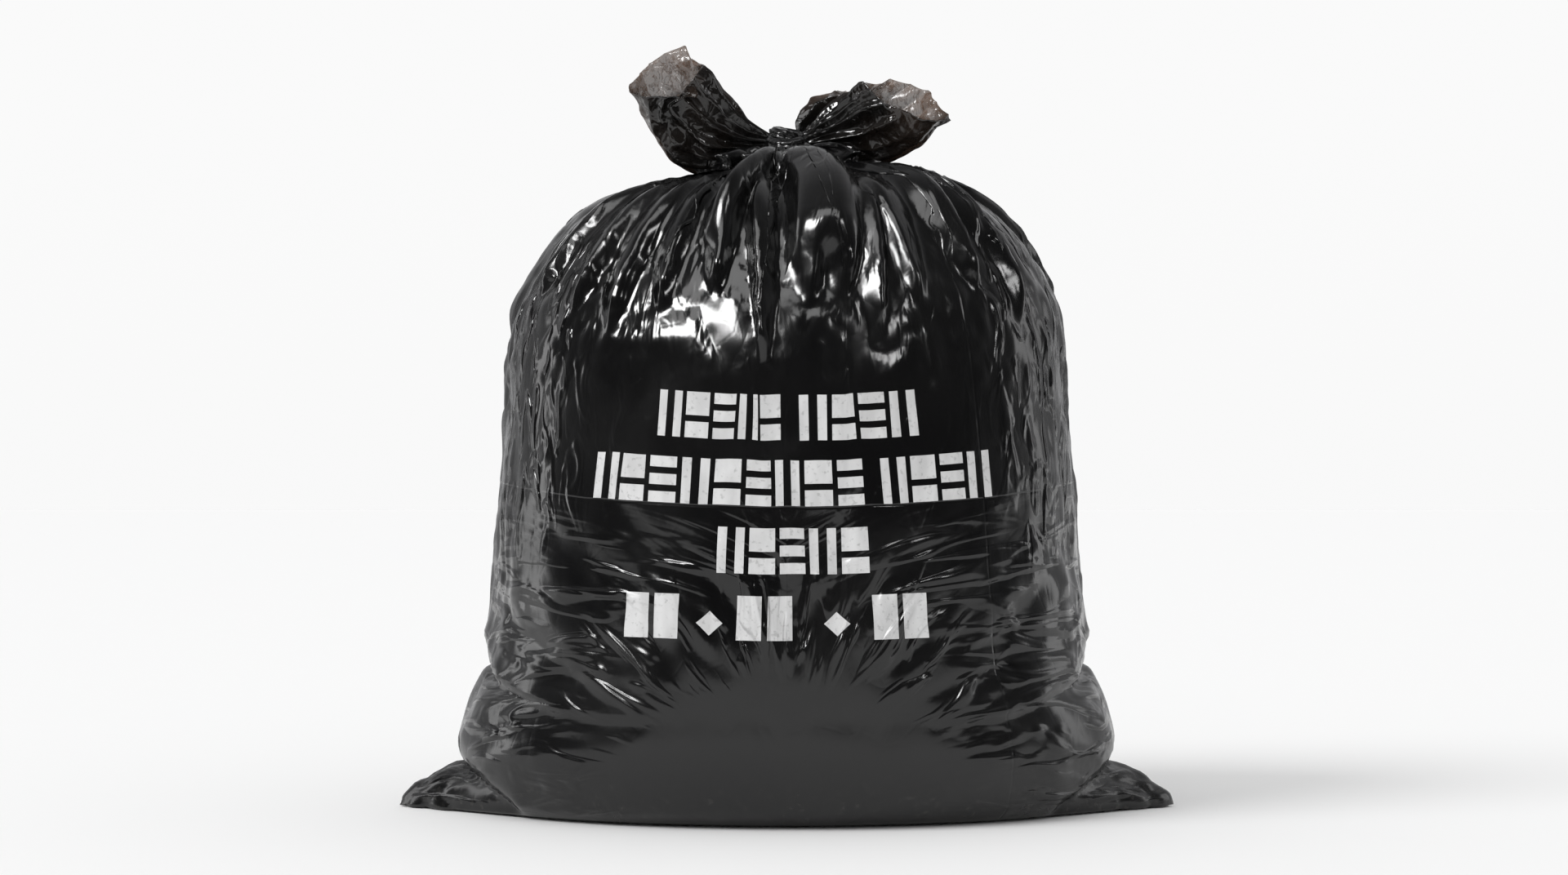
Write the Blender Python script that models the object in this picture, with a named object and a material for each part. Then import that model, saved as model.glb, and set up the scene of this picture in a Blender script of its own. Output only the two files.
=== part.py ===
"""A full bin bag: a wide gusseted sack of black film, filled, stood on the floor and tied with its own mouth.

Units are metres. +Z is up, +X runs along the bottom weld, and -Y is the printed front.
The origin is on the floor, under the middle of the bag.
"""

import math

import bmesh
import bpy
from mathutils import Vector

# ---------------------------------------------------------------- driving sizes

CORNER_SPAN = 0.815           # corner to corner of the bottom weld, once the filling pulls it in
KNOT_HEIGHT = 0.690           # centre of the knot above the floor
FILM_WALL = 0.0016            # wall given to the film where it is open, at the two ears

# The filled body, from the floor to the neck: height, half width, half depth.
BODY_SECTIONS = (
    (0.000, 0.318, 0.196),
    (0.012, 0.332, 0.213),
    (0.035, 0.340, 0.227),
    (0.070, 0.3415, 0.236),
    (0.110, 0.332, 0.240),
    (0.145, 0.319, 0.239),
    (0.200, 0.311, 0.238),
    (0.300, 0.303, 0.234),
    (0.400, 0.295, 0.226),
    (0.470, 0.291, 0.217),
    (0.520, 0.283, 0.205),
    (0.560, 0.268, 0.190),
    (0.600, 0.238, 0.166),
    (0.632, 0.198, 0.136),
    (0.654, 0.155, 0.104),
    (0.668, 0.110, 0.075),
    (0.680, 0.062, 0.046),
    (0.690, 0.026, 0.024),
)
BODY_RING_GAP = 0.024         # the most height between two rings of the body
BODY_POINTS = 96

PLEAT_COUNT = 18              # gathers that run down from the neck
PLEAT_START = 0.400           # height where they begin to show
PLEAT_DEPTH = 0.0085
NECK_PLEAT_SHARE = 0.16       # no pleat is deeper than this share of the section

PINCH_HEIGHT = 0.163          # the fold that runs in from each side edge
PINCH_DEPTH = 0.012
PINCH_HALF_HEIGHT = 0.014
PINCH_HALF_ANGLE = 0.55

# The welded bottom corners, which stick out past the filling: height, reach from the middle.
CORNER_RIDGE = (
    (0.000, CORNER_SPAN / 2),
    (0.010, 0.4020),
    (0.028, 0.3840),
    (0.044, 0.3600),
    (0.054, 0.3415),
)
CORNER_HALF_ANGLE = 0.36


def slope(table, row, column):
    """How fast a column changes at this row, taken across the rows on its two sides."""
    below = table[max(0, row - 1)]
    above = table[min(len(table) - 1, row + 1)]
    return (above[column] - below[column]) / (above[0] - below[0])


def between(table, value):
    """The other columns of a table at this value of its first one, on a smooth curve through the rows."""
    value = min(max(value, table[0][0]), table[-1][0])
    row = next(k for k in range(1, len(table)) if value <= table[k][0])
    below, above = table[row - 1], table[row]
    gap = above[0] - below[0]
    share = (value - below[0]) / gap
    rise = share * share * (3 - 2 * share)
    leave = share * (1 - share) ** 2 * gap
    arrive = -share * share * (1 - share) * gap
    return tuple(
        below[c] + (above[c] - below[c]) * rise + slope(table, row - 1, c) * leave + slope(table, row, c) * arrive
        for c in range(1, len(below))
    )


def smooth_step(low, high, value):
    """0 below low, 1 above high, and an even slope between them."""
    share = min(1.0, max(0.0, (value - low) / (high - low)))
    return share * share * (3 - 2 * share)


def side_angle(angle):
    """How far round the bag a point is from the nearer side edge, in radians."""
    return abs(math.asin(math.sin(angle)))


# ---------------------------------------------------------------- body

def pleat(angle, height, half_width, half_depth):
    """The gathers of the film: sharp valleys and round ridges, dying away down the body."""
    wave = math.cos(PLEAT_COUNT * angle + 0.8 * math.sin(3 * angle))
    wave = wave + 0.35 * math.cos((PLEAT_COUNT - 7) * angle + 1.3)
    depth = PLEAT_DEPTH * smooth_step(PLEAT_START, 0.60, height)
    return wave * min(depth, NECK_PLEAT_SHARE * min(half_width, half_depth))


def side_pinch(angle, height):
    """The fold that the leaning film makes just above the floor, deepest at the side edges."""
    near_side = smooth_step(PINCH_HALF_ANGLE, 0.0, side_angle(angle))
    near_height = math.exp(-(((height - PINCH_HEIGHT) / PINCH_HALF_HEIGHT) ** 2))
    return PINCH_DEPTH * near_side * near_height


def corner_reach(angle, height, half_width):
    """How far the empty welded corner sticks out past the filled body."""
    if height > CORNER_RIDGE[-1][0]:
        return 0.0
    (reach,) = between(CORNER_RIDGE, height)
    share = max(0.0, 1 - side_angle(angle) / CORNER_HALF_ANGLE)
    return max(0.0, reach - half_width) * share


def body_point(angle, height):
    """A point of the film at this angle round the bag and this height."""
    half_width, half_depth = between(BODY_SECTIONS, height)
    grown = pleat(angle, height, half_width, half_depth) - side_pinch(angle, height)
    x = (half_width + grown) * math.cos(angle)
    y = (half_depth + grown) * math.sin(angle)
    x += math.copysign(corner_reach(angle, height, half_width), x)
    return Vector((x, y, height))


def body_heights():
    """Ring heights: the section heights, with the tall gaps between them divided evenly."""
    heights = [row[0] for row in BODY_SECTIONS]
    heights += [0.023, CORNER_RIDGE[-2][0], CORNER_RIDGE[-1][0]]
    heights += [PINCH_HEIGHT + step * PINCH_HALF_HEIGHT for step in (-0.7, 0.0, 0.7, 1.5)]
    heights.sort()
    filled = []
    for low, high in zip(heights, heights[1:]):
        pieces = max(1, math.ceil((high - low) / BODY_RING_GAP))
        filled += [low + (high - low) * k / pieces for k in range(pieces)]
    return filled + [heights[-1]]


def ring_loft(mesh, rings):
    """Skins a list of rings of points, each with as many points, and caps both ends."""
    loops = [[mesh.verts.new(point) for point in ring] for ring in rings]
    count = len(loops[0])
    for lower, upper in zip(loops, loops[1:]):
        for k in range(count):
            after = (k + 1) % count
            mesh.faces.new((lower[k], lower[after], upper[after], upper[k]))
    mesh.faces.new(reversed(loops[0]))
    mesh.faces.new(loops[-1])


def new_solid(name, rings):
    """A closed, outward-facing object skinned over these rings."""
    mesh = bmesh.new()
    ring_loft(mesh, rings)
    bmesh.ops.recalc_face_normals(mesh, faces=mesh.faces)
    data = bpy.data.meshes.new(name)
    mesh.to_mesh(data)
    mesh.free()
    made = bpy.data.objects.new(name, data)
    bpy.context.scene.collection.objects.link(made)
    return made


def make_body():
    angles = [2 * math.pi * k / BODY_POINTS for k in range(BODY_POINTS)]
    rings = [[body_point(angle, height) for angle in angles] for height in body_heights()]
    return new_solid("bin_bag", rings)


# ---------------------------------------------------------------- ears

# Each ear is half of the sack's mouth, which flares out of the knot as an open cup of film.
# Along it, from the knot to the rim: share of the length, half width across, half depth.
EAR_SECTIONS = (
    (0.00, 0.013, 0.012),
    (0.15, 0.021, 0.018),
    (0.35, 0.035, 0.027),
    (0.60, 0.045, 0.034),
    (0.80, 0.046, 0.035),
    (1.00, 0.041, 0.031),
)
LEFT_EAR = (Vector((-0.006, 0.0, 0.692)), Vector((-0.084, 0.004, 0.706)), Vector((-0.136, -0.030, 0.769)))
RIGHT_EAR = (Vector((0.006, 0.0, 0.692)), Vector((0.076, 0.004, 0.714)), Vector((0.142, -0.030, 0.738)))
EAR_POINTS = 24
EAR_RINGS = 7
EAR_PLEATS = 6
EAR_HOLLOW_START = 0.34       # where the hollow of the cup closes, as a share of the length
RIM_SLANT = 0.14              # how much shorter the front of the mouth is, as a share of the length
RIM_ZIGZAG = 0.06


def bend_point(path, share):
    """A point and the direction of travel on the curve from path[0] to path[2], drawn towards path[1]."""
    start, pull, end = path
    left = 1 - share
    point = start * left * left + pull * 2 * share * left + end * share * share
    travel = (pull - start) * left + (end - pull) * share
    return point, travel.normalized()


def ear_point(path, share, angle, inset):
    """A point on the wall of an ear. Angle 0 is its upper edge, and a half turn is its lower one."""
    rim = 1 - RIM_SLANT * 0.5 * (1 - math.sin(angle)) + RIM_ZIGZAG * math.cos(3 * angle + 0.6)
    along = share * rim
    centre, travel = bend_point(path, along)
    upward = travel.cross(Vector((0, 1, 0))).normalized()
    upward = upward if upward.z > 0 else -upward
    depthward = travel.cross(upward).normalized()
    depthward = depthward if depthward.y > 0 else -depthward
    half_width, half_depth = between(EAR_SECTIONS, along)
    wave = 1 + 0.09 * share * math.cos(EAR_PLEATS * angle + 0.5)
    across = (half_width * wave - inset) * math.cos(angle)
    deep = (half_depth * wave - inset) * math.sin(angle)
    return centre + upward * across + depthward * deep


def make_ear(name, path):
    """The outer wall from the knot to the rim, then the inner wall back to where the cup closes."""
    angles = [2 * math.pi * k / EAR_POINTS for k in range(EAR_POINTS)]
    outer = [k / EAR_RINGS for k in range(EAR_RINGS + 1)]
    inner = [1 - (1 - EAR_HOLLOW_START) * k / EAR_RINGS for k in range(EAR_RINGS + 1)]
    rings = [[ear_point(path, share, angle, 0.0) for angle in angles] for share in outer]
    rings += [[ear_point(path, share, angle, FILM_WALL) for angle in angles] for share in inner]
    return new_solid(name, rings)


# ---------------------------------------------------------------- knot

KNOT_TURN_RADIUS = 0.020      # from the knot's middle to the middle of the strand round it
KNOT_STRAND_RADIUS = 0.0135
KNOT_TURN_POINTS = 20
KNOT_STRAND_POINTS = 12
KNOT_LEAN = math.radians(24)


def make_knot():
    """One strand of the mouth, wrapped as a tight ring round the other where they cross."""
    bpy.ops.mesh.primitive_torus_add(
        major_segments=KNOT_TURN_POINTS,
        minor_segments=KNOT_STRAND_POINTS,
        major_radius=KNOT_TURN_RADIUS,
        minor_radius=KNOT_STRAND_RADIUS,
        location=(0, 0, KNOT_HEIGHT),
        rotation=(0, math.radians(90) - KNOT_LEAN, 0),
    )
    ring = bpy.context.object
    ring.name = "knot_ring"
    return ring


def make_neck():
    """The gathered film inside the ring of the knot."""
    bpy.ops.mesh.primitive_uv_sphere_add(
        segments=20,
        ring_count=10,
        radius=0.024,
        location=(0, 0, KNOT_HEIGHT - 0.002),
    )
    core = bpy.context.object
    core.name = "neck"
    return core


# ---------------------------------------------------------------- film material and assembly

def film_material():
    """Black polythene film: dark, smooth and not metallic."""
    film = bpy.data.materials.new("black_film")
    film.use_nodes = True
    shader = film.node_tree.nodes["Principled BSDF"]
    shader.inputs["Base Color"].default_value = (0.012, 0.012, 0.013, 1)
    shader.inputs["Roughness"].default_value = 0.24
    shader.inputs["Metallic"].default_value = 0.0
    return film


def weld_on(bag, piece):
    """Joins a piece of the same film to the bag, so that the whole is one body."""
    union = bag.modifiers.new("join_" + piece.name, "BOOLEAN")
    union.operation = "UNION"
    union.solver = "EXACT"
    union.object = piece
    piece.hide_render = True
    piece.display_type = "WIRE"


def clear_scene():
    for old in list(bpy.data.objects):
        bpy.data.objects.remove(old, do_unlink=True)


def main():
    clear_scene()
    bag = make_body()
    weld_on(bag, make_neck())
    weld_on(bag, make_ear("left_ear", LEFT_EAR))
    weld_on(bag, make_ear("right_ear", RIGHT_EAR))
    weld_on(bag, make_knot())
    bag.data.materials.append(film_material())
    bag.data.shade_smooth()
    bag.data.set_sharp_from_angle(angle=math.radians(50))


main()
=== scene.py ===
# %% [markdown]
# # A full bin bag
# A heavy black polythene sack, filled, gathered at the neck and tied in a knot, so that the spare
# film above the knot stands up in two ears. This notebook makes the film itself: the solid that
# stands for the bag in the physics is loaded first, and its box gives the reach of the base.
# The sack is one sheet of film, so the lesson is mostly about how a thin skin folds.

# %% Load the frame and take its measures
import math

import bpy
import numpy as np
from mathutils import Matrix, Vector


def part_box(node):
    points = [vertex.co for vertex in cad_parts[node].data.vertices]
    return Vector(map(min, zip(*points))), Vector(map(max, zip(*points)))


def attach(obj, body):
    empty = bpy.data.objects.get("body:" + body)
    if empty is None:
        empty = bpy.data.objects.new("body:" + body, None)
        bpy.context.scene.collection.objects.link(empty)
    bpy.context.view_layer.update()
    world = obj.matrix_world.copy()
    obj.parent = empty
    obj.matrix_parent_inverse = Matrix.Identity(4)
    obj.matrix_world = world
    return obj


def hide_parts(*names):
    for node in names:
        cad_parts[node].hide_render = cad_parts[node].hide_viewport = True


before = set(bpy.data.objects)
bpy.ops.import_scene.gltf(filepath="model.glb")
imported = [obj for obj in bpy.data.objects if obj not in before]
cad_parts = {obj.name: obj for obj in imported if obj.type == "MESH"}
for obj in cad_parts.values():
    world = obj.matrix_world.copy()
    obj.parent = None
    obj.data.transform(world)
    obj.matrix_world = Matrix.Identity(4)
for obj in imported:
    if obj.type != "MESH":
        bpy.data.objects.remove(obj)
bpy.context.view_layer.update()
LOW, HIGH = (np.array(corner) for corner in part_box("bin_bag"))
MIDDLE_X = float(LOW[0] + HIGH[0]) / 2
TIP_REACH = float(HIGH[0] - LOW[0]) / 2 - 0.001
COLLECTION = bpy.context.scene.collection
print("bag", np.round(HIGH - LOW, 4), "tip reach", round(TIP_REACH, 4))

# %% [markdown]
# ## Small tools for the whole lesson
# Three helpers come back again and again. A soft step blends one thing into the next without a
# visible line. A curve through a few chosen points describes an outline. A lattice noise, made
# from a fixed seed, gives the unevenness that film always has.

# %% Soft step, curve through points, lattice noise
def soft_step(low, high, value):
    share = np.clip((value - low) / (high - low), 0.0, 1.0)
    return share * share * (3.0 - 2.0 * share)


def curve_through(value, places, heights):
    """A smooth curve through a few points, with level differences shared between neighbours."""
    slope = np.diff(heights) / np.diff(places)
    tangent = np.concatenate([slope[:1], (slope[1:] + slope[:-1]) / 2, slope[-1:]])
    piece = np.clip(np.searchsorted(places, value) - 1, 0, len(places) - 2)
    span = places[piece + 1] - places[piece]
    u = np.clip((value - places[piece]) / span, 0.0, 1.0)
    start = (2 * u**3 - 3 * u**2 + 1) * heights[piece] + (u**3 - 2 * u**2 + u) * span * tangent[piece]
    end = (3 * u**2 - 2 * u**3) * heights[piece + 1] + (u**3 - u**2) * span * tangent[piece + 1]
    return start + end


def lattice_noise(points, seed):
    """Smooth noise from -1 to 1 at an array of 3-D points, one lattice cell to a unit."""
    grid = np.random.default_rng(seed).uniform(-1.0, 1.0, (32, 32, 32))
    cell = np.floor(points).astype(int)
    part = points - cell
    part = part * part * (3.0 - 2.0 * part)
    total = np.zeros(len(points))
    for corner in range(8):
        step = np.array([corner & 1, (corner >> 1) & 1, (corner >> 2) & 1])
        at = (cell + step) % 32
        weight = np.prod(np.where(step == 1, part, 1.0 - part), axis=1)
        total += weight * grid[at[:, 0], at[:, 1], at[:, 2]]
    return total


print("noise check", np.round(lattice_noise(np.array([[0.5, 0.5, 0.5], [3.2, 1.1, 7.9]]), 1), 3))

# %% [markdown]
# The sky, the knot and the finishes are all made of nodes. A node tree could be wired by hand,
# one node at a time, but sums are hard to read that way. Here a wire is what comes out of a node,
# and arithmetic on wires makes the Math nodes, so that a finish reads like a formula.

# %% Wires between nodes
class Wire:
    """What comes out of one node. Arithmetic on wires makes Math nodes."""

    def __init__(self, tree, socket):
        self.tree = tree
        self.socket = socket

    def maths(self, operation, *others):
        return maths(self.tree, operation, self, *others)

    def __add__(self, other):
        return self.maths("ADD", other)

    def __sub__(self, other):
        return self.maths("SUBTRACT", other)

    def __rsub__(self, other):
        return maths(self.tree, "SUBTRACT", other, self)

    def __mul__(self, other):
        return self.maths("MULTIPLY", other)

    def __truediv__(self, other):
        return self.maths("DIVIDE", other)

    def __gt__(self, other):
        return self.maths("GREATER_THAN", other)

    def __lt__(self, other):
        return self.maths("LESS_THAN", other)

    def __abs__(self):
        return self.maths("ABSOLUTE")


def feed(socket, value):
    """Links a wire to a socket, or sets a plain value on it."""
    if isinstance(value, Wire):
        value.tree.links.new(value.socket, socket)
    else:
        socket.default_value = value


def node(tree, kind, output, inputs, **settings):
    """Makes a node, with its settings and inputs, and returns the wire from one output."""
    made = tree.nodes.new(kind)
    for key, value in settings.items():
        setattr(made, key, value)
    for key, value in inputs.items():
        feed(made.inputs[key], value)
    return Wire(tree, made.outputs[output])


def maths(tree, operation, *values):
    return node(tree, "ShaderNodeMath", 0, dict(enumerate(values)), operation=operation)


print("wires ready")

# %% [markdown]
# A few nodes come back in every finish: noise, a stretched place to read it at, a range turned
# into another range, two colours mixed, and a bump laid on the bump before it.

# %% Helpers for noise, ranges, colours and bumps
def noise_at(place, scale, detail=2.0, distortion=0.0):
    inputs = {"Vector": place, "Scale": scale, "Detail": detail, "Distortion": distortion}
    return node(place.tree, "ShaderNodeTexNoise", "Fac", inputs)


def stretched(place, scale):
    return node(place.tree, "ShaderNodeMapping", "Vector", {"Vector": place, "Scale": scale})


def ranged(value, low, high, to_low, to_high, way="SMOOTHSTEP"):
    inputs = {"Value": value, "From Min": low, "From Max": high, "To Min": to_low, "To Max": to_high}
    return node(value.tree, "ShaderNodeMapRange", "Result", inputs, interpolation_type=way)


def mixed_colour(share, first, second):
    inputs = {"Factor": share, 6: first, 7: second}
    return node(share.tree, "ShaderNodeMix", 2, inputs, data_type="RGBA")


def bumped(height, strength, reach, under=None):
    inputs = {"Height": height, "Strength": strength, "Distance": reach}
    if under is not None:
        inputs["Normal"] = under
    return node(height.tree, "ShaderNodeBump", "Normal", inputs)


def grey(value, blue=None):
    return (value, value, value if blue is None else blue, 1.0)


print("node helpers ready")

# %% [markdown]
# ## The studio
# A pale matt floor runs on under a pale sky, so that hardly an edge shows between them.

# %% Floor
FLOOR_REACH = 14.0
bpy.ops.mesh.primitive_plane_add(size=2 * FLOOR_REACH)
floor = bpy.context.object
floor.name = "studio_floor"
floor_paint = bpy.data.materials.new("floor_paint")
floor_paint.use_nodes = True
floor_shader = floor_paint.node_tree.nodes["Principled BSDF"]
floor_shader.inputs["Base Color"].default_value = (0.92, 0.92, 0.92, 1.0)
floor_shader.inputs["Roughness"].default_value = 0.75
floor_shader.inputs["Specular IOR Level"].default_value = 0.1
floor.data.materials.append(floor_paint)
print("floor", FLOOR_REACH * 2, "m across")

# %% [markdown]
# Black film has almost no colour of its own: what is seen is what it mirrors. A real studio is
# bright behind the object and dim on the viewer's side. A closed room could be built for that.
# Here the sky is three skies instead, chosen by the kind of ray. The camera sees a nearly white
# one. Mirrored rays meet one that darkens from the back (+Y) to the front (-Y), by direction
# only, so it stays in place in every view. All other light is one even grey.

# %% Sky
SKY_SEEN = 0.955         # behind the bag, high up
HORIZON_SEEN = 0.945     # behind the bag, where the sky meets the floor
HORIZON_RANGE = (-0.01, 0.09)
SKY_LIGHT = 0.80
SKY_STOPS = (            # from front to back: place, grey, blue
    (0.0, 0.035, 0.036), (0.22, 0.045, 0.0459), (0.42, 0.12, 0.1224), (0.60, 0.29, 0.2958), (1.0, 0.66, 0.67),
)
world = bpy.data.worlds.new("studio_sky")
bpy.context.scene.world = world
world.use_nodes = True
sky = world.node_tree
sky.nodes.clear()
direction = node(sky, "ShaderNodeTexCoord", "Generated", {})
backward = node(sky, "ShaderNodeSeparateXYZ", "Y", {0: direction})
upward = node(sky, "ShaderNodeSeparateXYZ", "Z", {0: direction})
graded = node(sky, "ShaderNodeValToRGB", "Color", {0: ranged(backward, -1.0, 1.0, 0.0, 1.0, "LINEAR")})
stops = graded.socket.node.color_ramp.elements
for place, tone, blue in SKY_STOPS:
    stop = stops[0] if place == 0.0 else stops[-1] if place == 1.0 else stops.new(place)
    stop.position = place
    stop.color = grey(tone, blue)
plain = node(sky, "ShaderNodeBackground", 0, {"Color": grey(SKY_LIGHT)})
mirrored = node(sky, "ShaderNodeBackground", 0, {"Color": graded})
strength_seen = ranged(upward, *HORIZON_RANGE, HORIZON_SEEN, SKY_SEEN, "LINEAR")
seen = node(sky, "ShaderNodeBackground", 0, {"Color": grey(1.0), "Strength": strength_seen})
by_gloss = node(sky, "ShaderNodeLightPath", "Is Glossy Ray", {})
by_camera = node(sky, "ShaderNodeLightPath", "Is Camera Ray", {})
around = node(sky, "ShaderNodeMixShader", 0, {0: by_gloss, 1: plain, 2: mirrored})
whole_sky = node(sky, "ShaderNodeMixShader", 0, {0: by_camera, 1: around, 2: seen})
feed(sky.nodes.new("ShaderNodeOutputWorld").inputs[0], whole_sky)
print("sky stops", [(round(stop.position, 2), round(stop.color[0], 3)) for stop in stops])

# %% [markdown]
# One wide sun from the left gives the floor its even light and one soft shadow. It is left out of
# mirrors, where its disc would show on every wrinkle. Five soft boxes do the opposite: they show
# in the gloss, as long bright shapes, and are left out of the diffuse light, because boxes this
# close would burn the floor white. Film of another sheen would need other boxes.

# %% Sun and soft boxes
AIM = (0.0, 0.0, 0.40)
SOFT_BOXES = (           # name, place, width, height, watts
    ("box_left", (-2.3, 0.3, 0.9), 0.45, 1.8, 7.0),
    ("box_right", (2.4, 0.5, 0.9), 0.6, 1.6, 5.0),
    ("box_front_left", (-1.45, -1.95, 2.3), 1.45, 0.62, 88.0),
    ("box_top_front", (-0.5, -1.6, 3.0), 1.9, 1.1, 22.0),
    ("box_front_right", (1.5, -2.3, 2.0), 0.40, 0.5, 9.0),
)
SUN_FROM = Vector((-1.0, -0.55, 0.95))
SUN_STRENGTH = 1.35
SUN_SPREAD = 30.0        # degrees


def lamp_holder(name, kind, energy, faces_from):
    lamp = bpy.data.lights.new(name, kind)
    lamp.energy = energy
    holder = bpy.data.objects.new(name, lamp)
    holder.rotation_euler = faces_from.to_track_quat("Z", "Y").to_euler()
    COLLECTION.objects.link(holder)
    return holder


sun = lamp_holder("sun_left", "SUN", SUN_STRENGTH, SUN_FROM)
sun.data.angle = math.radians(SUN_SPREAD)
sun.visible_glossy = False
for name, place, wide_box, tall_box, watts in SOFT_BOXES:
    box = lamp_holder(name, "AREA", watts, Vector(place) - Vector(AIM))
    box.data.shape = "RECTANGLE"
    box.data.size = wide_box
    box.data.size_y = tall_box
    box.location = place
    box.visible_diffuse = False
print("one wide sun and", len(SOFT_BOXES), "soft boxes")

# %% [markdown]
# The camera stands level at the middle of the bag, far enough away that the sides stay upright.

# %% Camera and picture tone
CAMERA_LENS = 75.0
CAMERA_AT = (MIDDLE_X - 0.003, -3.4, 0.384)
camera_data = bpy.data.cameras.new("camera")
camera_data.lens = CAMERA_LENS
camera = bpy.data.objects.new("camera", camera_data)
camera.location = CAMERA_AT
camera.rotation_euler = (math.radians(90.0), 0.0, 0.0)
COLLECTION.objects.link(camera)
bpy.context.scene.camera = camera
bpy.context.scene.view_settings.view_transform = "Standard"
print("camera", tuple(round(v, 3) for v in camera.location))

# %% [markdown]
# ## The shape of the full bag
# The film leaves the factory as a flat tube, welded straight across the bottom. Filled, it takes
# a squat oval section that is widest just above the floor. A few heights, each with a half width
# and a half depth, say how the oval changes, and a smooth curve joins them.

# %% Sections of the filled body: height, half width, half depth
SECTIONS = np.array([
    (0.000, 0.318, 0.196), (0.012, 0.332, 0.213), (0.035, 0.340, 0.227), (0.070, 0.3415, 0.236),
    (0.110, 0.332, 0.238), (0.145, 0.319, 0.240), (0.200, 0.311, 0.2405), (0.300, 0.303, 0.234),
    (0.400, 0.295, 0.226), (0.470, 0.291, 0.217), (0.520, 0.283, 0.205), (0.560, 0.268, 0.190),
    (0.600, 0.240, 0.168), (0.634, 0.197, 0.134), (0.650, 0.150, 0.104), (0.662, 0.104, 0.076),
    (0.671, 0.062, 0.050), (0.678, 0.034, 0.030),
])
NECK_HEIGHT = float(SECTIONS[-1, 0])


def section(height):
    half_width = curve_through(height, SECTIONS[:, 0], SECTIONS[:, 1])
    half_depth = curve_through(height, SECTIONS[:, 0], SECTIONS[:, 2])
    return half_width, half_depth


print("widest", round(float(SECTIONS[:, 1].max()) * 2, 3), "neck at", NECK_HEIGHT)

# %% [markdown]
# Two things break the plain oval near the floor. The ends of the bottom weld stick out as flat
# three-cornered flaps, because a straight weld cannot follow a round base. And on both sides the
# filling has slumped, which pinches the film into a deep crease that runs in and down.

# %% Flaps at the ends of the weld, and the side pinch
FLAP_ANGLE = 0.60        # how far round the oval a flap reaches, in radians from the side
FLAP_HEIGHT = 0.052      # where its upper edge leaves the body
FLAP_INSET = 0.008       # how sharply the body tucks in above it
FLAP_BULGE = 1.6         # how far its outline swells past a straight line
PINCH_HEIGHT = 0.163
PINCH_DROP = 0.070
PINCH_DEPTH = 0.022
PINCH_ANGLE = 0.85


def from_side(angle):
    return np.abs(np.arcsin(np.clip(np.sin(angle), -1.0, 1.0)))


def floor_outline(angle):
    """Where the film meets the floor: an oval with two straight-edged points."""
    half_width, half_depth = SECTIONS[0, 1], SECTIONS[0, 2]
    share = from_side(angle) / FLAP_ANGLE
    edge_x = half_width * math.cos(FLAP_ANGLE)
    edge_y = half_depth * math.sin(FLAP_ANGLE)
    flap_x = np.sign(np.cos(angle)) * (TIP_REACH + (edge_x - TIP_REACH) * share)
    flap_y = np.sign(np.sin(angle)) * edge_y * share
    on_flap = share < 1.0
    x = np.where(on_flap, flap_x, half_width * np.cos(angle))
    y = np.where(on_flap, flap_y, half_depth * np.sin(angle))
    return x, y


def flap_top(angle):
    return FLAP_HEIGHT * np.clip(1.0 - from_side(angle) / FLAP_ANGLE, 0.0, 1.0) ** 0.7


def side_pinch(angle, height):
    """How far the crease pulls the film in, the height of its line, and its depth there."""
    side = from_side(angle)
    line = PINCH_HEIGHT - PINCH_DROP * np.clip(side / 0.8, 0.0, 1.0) ** 1.2
    depth = PINCH_DEPTH * np.clip(1.0 - side / PINCH_ANGLE, 0.0, 1.0) ** 1.3
    groove = depth * np.exp(-(((height - line) / 0.007) ** 2))
    lip = 0.35 * depth * np.exp(-(((height - line - 0.018) / 0.012) ** 2))
    return groove - lip, line, depth


print("flap rises to", FLAP_HEIGHT, "pinch at", PINCH_HEIGHT)

# %% [markdown]
# ## The film as a grid
# Columns run up the film and rows run round it, about 9 mm apart. The lowest rows lie under the
# bag, from the straight weld out to the floor outline. Column angles are spaced by length round
# the oval, so that no column is wider than another.

# %% Grid of the film
COLUMNS = 184
ROW_STEP = 0.009
UNDER_ROWS = 8
LIFT = 0.0015            # the film's underside, just clear of the floor

turn = np.linspace(0.0, 2 * math.pi, 4001)
along = np.hypot(np.diff(0.300 * np.cos(turn)), np.diff(0.232 * np.sin(turn)))
along = np.concatenate([[0.0], np.cumsum(along)])
COLUMN_ANGLE = np.interp(np.arange(COLUMNS) / COLUMNS * along[-1], along, turn)
COLUMN_SHARE = np.arange(COLUMNS) / COLUMNS

heights = np.linspace(0.0, NECK_HEIGHT, 1200)
wide, deep = section(heights)
climb = np.concatenate([[0.0], np.cumsum(np.hypot(np.diff(heights), np.diff(wide + deep) / 2))])
print("film from floor to neck", round(float(climb[-1]), 3), "m")


# %% [markdown]
# The rows near the floor are set by formula: the filling's weight leaves the film no choice
# there. Each flap is blended from its straight edge on the floor up to the body.

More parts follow.
